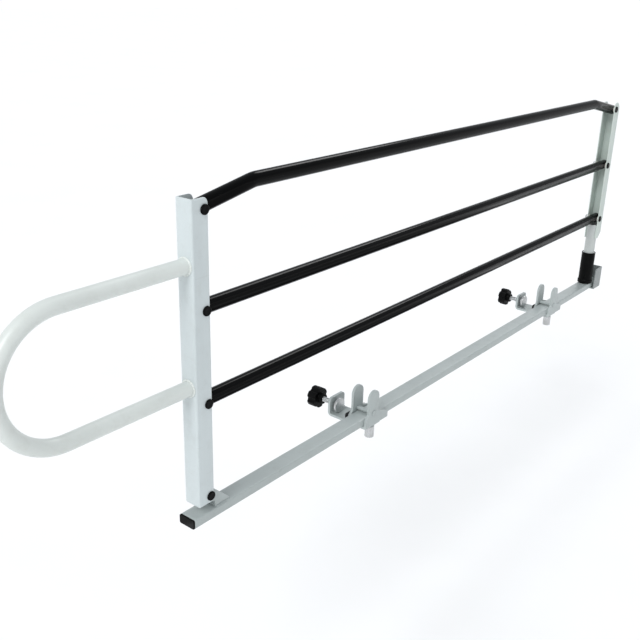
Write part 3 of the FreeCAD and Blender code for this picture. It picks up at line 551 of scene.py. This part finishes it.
def bead(name, path, radius, body, slot, closed=False, across=Vector((0, 0, 1))):
    """A weld bead along a path, with the overlapping ripples that the torch leaves."""
    around = 10
    made = bmesh.new()
    fine = along([Vector(p) for p in path] + ([Vector(path[0])] if closed else []), radius * 0.45)
    if closed:
        fine.pop()
    rings = []
    for index, point in enumerate(fine):
        before = fine[index - 1] if closed or index else fine[0]
        after = fine[(index + 1) % len(fine)] if closed or index + 1 < len(fine) else fine[-1]
        run = (after - before).normalized()
        side = across.cross(run).normalized()
        up = run.cross(side)
        ripple = 1 + 0.11 * math.cos(index * 2 * math.pi / 4) + 0.05 * math.sin(index * 0.9)
        ease = 1 if closed else min(1, 0.35 + min(index, len(fine) - 1 - index) * 0.3)
        rings.append([made.verts.new(p) for p in ring_points(point, side, up, radius * ripple * ease, around)])
    for first, second in zip(rings, rings[1:]):
        join_rings(made, first, second)
    if closed:
        join_rings(made, rings[-1], rings[0])
    else:
        made.faces.new(rings[0])
        made.faces.new(rings[-1])
    return finish_piece(name, made, body, slot, 60)


def make_welds():
    """Beads where plates and tubes are welded: handle, hinges, shoe, foot tube and clamp arms."""
    handle_low, handle_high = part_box("grab_handle")
    web = handle_high.x
    for name, z in (("upper", handle_high.z - HANDLE_RADIUS), ("lower", handle_low.z + HANDLE_RADIUS)):
        ring = ring_points(Vector((web - 0.5 * MM, RAIL_Y, z)), Vector((0, 1, 0)), Vector((0, 0, 1)),
                           HANDLE_RADIUS + 0.7 * MM, 60)
        bead("handle_%s_weld" % name, ring, 1.7 * MM, "near_post", "light_powder_coat", True, Vector((1, 0, 0)))

    low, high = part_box("near_hinge_bracket")
    top = RAIL_HIGH.z
    for name, y in (("outer", low.y - 0.4 * MM), ("inner", high.y + 0.4 * MM)):
        start = NEAR_PIVOT.x + 14 * MM
        bead("hinge_%s_weld" % name, [(start, y, top), (high.x - 2 * MM, y, top)], 1.5 * MM,
             "base", "grey_powder_coat")

    low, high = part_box("far_hinge_tongue")
    neck = [(FAR_PIVOT.x, low.y, top), (high.x, low.y, top), (high.x, high.y, top), (FAR_PIVOT.x, high.y, top)]
    bead("tongue_weld", neck, 1.1 * MM, "base", "grey_powder_coat", True)

    wall = RAIL_HIGH.x - 0.3 * MM
    bead("shoe_weld", [(wall, RAIL_Y - 12 * MM, top), (wall, RAIL_Y + 12 * MM, top)], 1.5 * MM,
         "base", "grey_powder_coat")

    tube_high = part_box("far_post_tube")[1]
    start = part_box("far_post")[0].z + 3 * MM
    for name, side in (("outer", -1), ("inner", 1)):
        x = FAR_PIVOT.x - 5.5 * MM
        y = RAIL_Y + side * 12.3 * MM
        bead("tube_%s_weld" % name, [(x, y, start), (x, y, tube_high.z - 2 * MM)], 1.3 * MM,
             "far_post", "light_powder_coat", across=Vector((1, 0, 0)))

    for clamp in ("near", "far"):
        low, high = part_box(clamp + "_jaw_arm")
        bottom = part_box(clamp + "_saddle")[0].z
        for name, x in (("left", low.x), ("right", high.x)):
            path = [(x, RAIL_Y - 12 * MM, bottom - 0.2 * MM), (x, RAIL_Y + 16 * MM, bottom - 0.2 * MM)]
            bead("%s_arm_%s_weld" % (clamp, name), path, 1.6 * MM, clamp + "_clamp", "grey_powder_coat")


def make_screws():
    for clamp in ("near", "far"):
        node = clamp + "_jaw_screw"
        low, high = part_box(node)
        threaded(node, size(node).x / 2, JAW_PITCH, Vector((0, 1, 0)),
                 low.y + 4 * MM, high.y, 3 * MM, low.y)
        node = clamp + "_lock_screw"
        low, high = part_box(node)
        threaded(node, size(node).x / 2, LOCK_PITCH, Vector((0, 0, 1)),
                 high.z - 1.5 * MM, low.z, 2.5 * MM, high.z)


def make_caps():
    """Low domed caps over the bolt heads, each with a rolled rim."""
    for node in ("near_bolt_caps", "far_bolt_caps"):
        low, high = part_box(node)
        radius = size(node).x / 2
        height = size(node).y
        pins = list(BAR_PINS.values()) + ([NEAR_PIVOT] if node.startswith("near") else [])
        made = bmesh.new()
        for pin in pins:
            profile = [(0, 0.35), (0.3, 0.28), (0.6, 0.1), (0.78, 0.0), (0.86, 0.03), (0.93, 0.12),
                       (0.98, 0.28), (1.0, 0.5), (1.0, 0.95), (0.985, 1.0), (0.8, 1.0), (0.78, 0.85), (0, 0.85)]
            points = [(share * radius, height * (depth if share > 0.7 or depth > 0.5 else depth * 0.3))
                      for share, depth in profile]
            base = Vector((middle(node).x, low.y, pin.z))
            one = lathe(points, base, Vector((0, 1, 0)), 40)
            mesh = bpy.data.meshes.new("cap")
            one.to_mesh(mesh)
            one.free()
            made.from_mesh(mesh)
            bpy.data.meshes.remove(mesh)
        stand_in(node, made, 50)


def make_spring():
    """The coil between the sleeve and its collar, built at its rest length, though the real coil shortens towards
    the collar as the sleeve is lifted.
    """
    low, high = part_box("lock_spring")
    wire = SPRING_WIRE_RADIUS
    steps = 24
    radius = size("lock_spring").x / 2 - wire
    rise = high.z - low.z - 2 * wire
    count = round(rise / SPRING_PITCH * steps)
    centre = middle("lock_spring")
    made = bmesh.new()
    rings = []
    for index in range(count + 1):
        turn = 2 * math.pi * index / steps
        out = Vector((math.cos(turn), math.sin(turn), 0))
        place = Vector((centre.x, centre.y, low.z + wire + rise * index / count)) + out * radius
        rings.append([made.verts.new(p) for p in ring_points(place, out, Vector((0, 0, 1)), wire, 10)])
    for first, second in zip(rings, rings[1:]):
        join_rings(made, first, second)
    made.faces.new(rings[0])
    made.faces.new(rings[-1])
    piece = stand_in("lock_spring", made, 60)
    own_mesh(piece)


EDGES = {"near_jaw_knob": 1.2, "far_jaw_knob": 1.2, "lock_sleeve": 0.8, "base_end_cap": 0.7,
         "near_post": 0.35, "far_post": 0.35, "near_lock_knob": 0.5, "far_lock_knob": 0.5,
         "near_rubber_pad": 0.3, "far_rubber_pad": 0.3, "near_saddle": 0.6, "far_saddle": 0.6,
         "near_jaw_arm": 0.6, "far_jaw_arm": 0.6, "far_end_bracket": 0.6, "near_hinge_bracket": 0.5}
OWN_SHAPES = {"top_bar", "middle_bar", "lower_bar", "grab_handle", "base_rail", "near_jaw_screw",
              "far_jaw_screw", "near_lock_screw", "far_lock_screw", "near_bolt_caps", "far_bolt_caps",
              "lock_spring"}

make_bars()
make_handle()
make_rail()
make_screws()
make_caps()
make_spring()
make_welds()
for node, piece in NODES.items():
    piece.data.materials.clear()
    piece.data.materials.append(MATERIALS[SLOT_OF[node]])
    if node not in OWN_SHAPES:
        refined(node, EDGES.get(node, 0.3))
# Put the painted-light copy on the handle and its welds, and the painted-shade copies on the far post, its tube
# welds and the end bracket.
for name, coat in (("grab_handle", HANDLE_LIT_COAT), ("handle_upper_weld", HANDLE_LIT_COAT),
                   ("handle_lower_weld", HANDLE_LIT_COAT), ("far_post", FAR_SHADED_COAT), ("far_end_bracket", SHOE_SHADED_COAT),
                   ("tube_outer_weld", FAR_SHADED_COAT), ("tube_inner_weld", FAR_SHADED_COAT)):
    piece = bpy.data.objects.get(name + "_fine") or bpy.data.objects[name]
    piece.data.materials[0] = coat


# ---------------------------------------------------------------- floor, light and camera

def make_stage():
    floor_drop = 0.55
    reach = 30.0
    made = bmesh.new()
    corners = [(-reach, -reach), (reach, -reach), (reach, reach), (-reach, reach)]
    made.faces.new([made.verts.new((x, y, -floor_drop)) for x, y in corners])
    mesh = bpy.data.meshes.new("floor")
    made.to_mesh(mesh)
    made.free()
    floor = bpy.data.objects.new("floor", mesh)
    bpy.context.scene.collection.objects.link(floor)
    material, tree, shader, add = new_material("floor")
    where = add("ShaderNodeTexCoord").outputs["Object"]
    tone = ramp(add, noise(add, where, 3.0), [(0.3, 0.93), (0.7, 0.95)])
    tree.links.new(tone, shader.inputs["Base Color"])
    shader.inputs["Roughness"].default_value = 0.9
    mesh.materials.append(material)


def make_light():
    """A pale studio, brightest at the horizon, a soft key at the handle end and a low light along the bars."""
    world = bpy.data.worlds.new("studio")
    bpy.context.scene.world = world
    world.use_nodes = True
    tree = world.node_tree
    where = tree.nodes.new("ShaderNodeTexCoord")
    parts = tree.nodes.new("ShaderNodeSeparateXYZ")
    tree.links.new(where.outputs["Generated"], parts.inputs["Vector"])
    fade = tree.nodes.new("ShaderNodeValToRGB")
    fade.color_ramp.elements[0].position = 0.06
    fade.color_ramp.elements[0].color = (1.02, 1.02, 1.02, 1)
    fade.color_ramp.elements[1].position = 0.36
    fade.color_ramp.elements[1].color = (0.53, 0.55, 0.575, 1)
    tree.links.new(parts.outputs["Z"], fade.inputs["Fac"])
    tree.links.new(fade.outputs["Color"], tree.nodes["Background"].inputs["Color"])

    for name, energy, angle, towards in (("key", 1.9, 30, (-0.72, -0.1, 0.69)),
                                         ("bar_light", 0.5, 18, (0.72, 0.2, 0.66))):
        lamp = bpy.data.lights.new(name, "SUN")
        lamp.energy = energy
        lamp.angle = math.radians(angle)
        holder = bpy.data.objects.new(name, lamp)
        holder.rotation_euler = Vector(towards).to_track_quat("Z", "Y").to_euler()
        bpy.context.scene.collection.objects.link(holder)
    bpy.context.scene.view_settings.view_transform = "Standard"


def make_camera():
    azimuth = math.radians(-51.71)
    elevation = math.radians(21.59)
    roll = math.radians(1.686)
    back = Vector((math.sin(azimuth) * math.cos(elevation),
                   -math.cos(azimuth) * math.cos(elevation), math.sin(elevation)))
    right = (-back).cross(Vector((0, 0, 1))).normalized()
    up = right.cross(-back)
    rolled_right = right * math.cos(roll) + up * math.sin(roll)
    rolled_up = up * math.cos(roll) - right * math.sin(roll)
    lens = bpy.data.cameras.new("camera")
    lens.sensor_width = 36
    lens.lens = 48.05
    lens.clip_start = 0.05
    lens.clip_end = 100
    camera = bpy.data.objects.new("camera", lens)
    turn = Matrix((rolled_right, rolled_up, back)).transposed().to_4x4()
    turn.translation = Vector((-1.137, -0.8102, 0.731))
    camera.matrix_world = turn
    bpy.context.scene.collection.objects.link(camera)
    bpy.context.scene.camera = camera


make_stage()
make_light()
make_camera()
